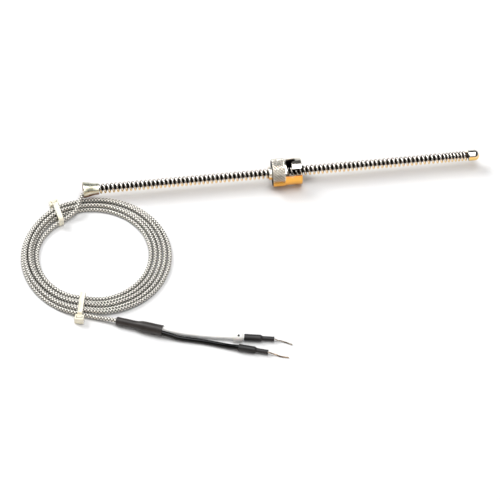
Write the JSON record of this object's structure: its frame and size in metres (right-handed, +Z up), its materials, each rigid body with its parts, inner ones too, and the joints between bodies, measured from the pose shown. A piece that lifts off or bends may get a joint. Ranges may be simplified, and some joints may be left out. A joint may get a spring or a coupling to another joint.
{
  "type": "bayonet thermocouple",
  "caption": "Spring-armoured probe with a knurled bayonet cap that screws along it, a flared ferrule, and a braided lead tied in a flat coil with sleeved bare-ended tails.",
  "frame": {"origin": "on the surface the thermocouple lies on, below the middle of the probe", "axes": "+X along the probe towards its closed tip, +Y away from the side where the lead's coil lies, +Z up"},
  "size_m": [0.2353, 0.1184, 0.014],
  "materials": {
    "spring_steel": "bright wire",
    "tip_metal": "nickel plated, polished",
    "cap_metal": "nickel plated, machined",
    "ferrule_metal": "nickel plated, drawn",
    "bush_metal": "plated",
    "washer_metal": "satin",
    "crimp_metal": "satin",
    "braid": "woven fine wire",
    "glass_fibre": "woven",
    "white_insulation": "woven glass fibre",
    "black_insulation": "woven glass fibre",
    "cement": "matte",
    "bead": "welded",
    "iron_wire": "drawn",
    "constantan_wire": "drawn",
    "nylon": "satin",
    "shrink": "satin",
    "white_sleeving": "matte",
    "black_sleeving": "satin"
  },
  "bodies": {
    "probe_and_lead": {"ferrule": "ferrule_metal", "crimp_sleeve": "crimp_metal", "armour_spring": "spring_steel", "positive_insulation": "black_insulation", "negative_insulation": "white_insulation", "glass_jacket": "glass_fibre", "inner_overbraid": "braid", "lead_exit": "braid", "lead_coil": "braid", "lead_tail": "braid", "cable_tie_upper": "nylon", "cable_tie_lower": "nylon", "transition_sleeve": "shrink", "positive_lead_core": "black_insulation", "negative_lead_core": "white_insulation", "white_sleeve": "white_sleeving", "black_sleeve": "black_sleeving", "marker_sleeve": "white_sleeving", "white_end_shrink": "shrink", "black_end_shrink": "shrink", "positive_core": "black_insulation", "negative_core": "white_insulation", "positive_tail": "iron_wire", "negative_tail": "constantan_wire"},
    "cap_slider": {"cap_washer": "washer_metal"},
    "bayonet_cap": {"bayonet_cap": "cap_metal", "cap_bush": "bush_metal", "thread_insert": "spring_steel"},
    "probe_tip": {"probe_tip": "tip_metal", "tip_cement": "cement", "hot_junction": "bead", "positive_element": "iron_wire", "negative_element": "constantan_wire"}
  },
  "joints": [
    {"name": "cap_travel", "type": "slide", "parent": "probe_and_lead", "child": "cap_slider", "axis": [1, 0, 0], "range_m": [-0.076, 0.0755]},
    {"name": "cap_turn", "type": "hinge", "parent": "cap_slider", "child": "bayonet_cap", "pos_m": [0, 0, 0.007], "axis": [1, 0, 0], "range_deg": [-12760, 12700]},
    {"name": "tip_compression", "type": "slide", "parent": "probe_and_lead", "child": "probe_tip", "axis": [-1, 0, 0], "range_m": [0, 0.006], "stiffness_N_per_m": 6000, "deforming": ["armour_spring", "inner_overbraid", "glass_jacket", "positive_insulation", "negative_insulation", "positive_element", "negative_element"]}
  ],
  "couplings": [
    {"joint": "cap_turn", "follows": "cap_travel", "rad_per_m": 2922.4}
  ]
}
